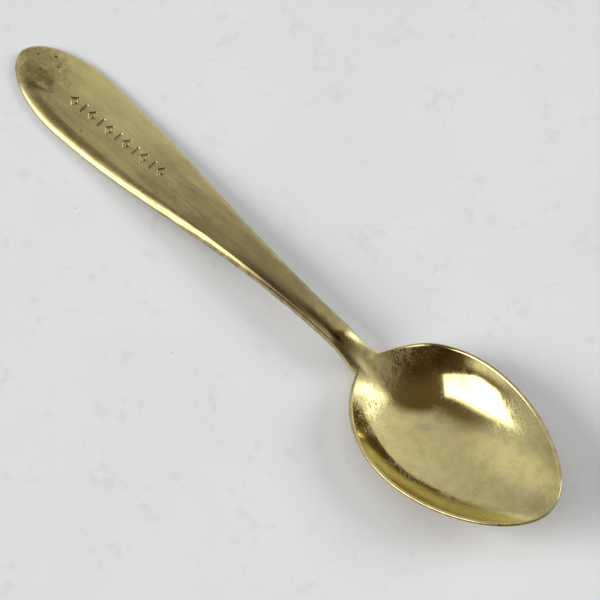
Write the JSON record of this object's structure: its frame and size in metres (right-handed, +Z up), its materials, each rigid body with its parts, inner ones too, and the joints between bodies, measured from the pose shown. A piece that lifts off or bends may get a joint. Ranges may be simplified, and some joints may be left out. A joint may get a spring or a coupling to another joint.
{
  "type": "souvenir spoon",
  "caption": "Small one-piece brass spoon with a flat tapering handle, a narrow neck and a pointed oval bowl.",
  "frame": {"origin": "under the middle of the spoon's length, on the surface it rests on", "axes": "+X along the spoon towards the bowl's tip, +Y across it, +Z up out of the bowl's hollow"},
  "size_m": [0.12, 0.026, 0.0108],
  "materials": {
    "brass": "worn satin brass with light tarnish"
  },
  "bodies": {
    "root": {"spoon": "brass"}
  },
  "joints": []
}
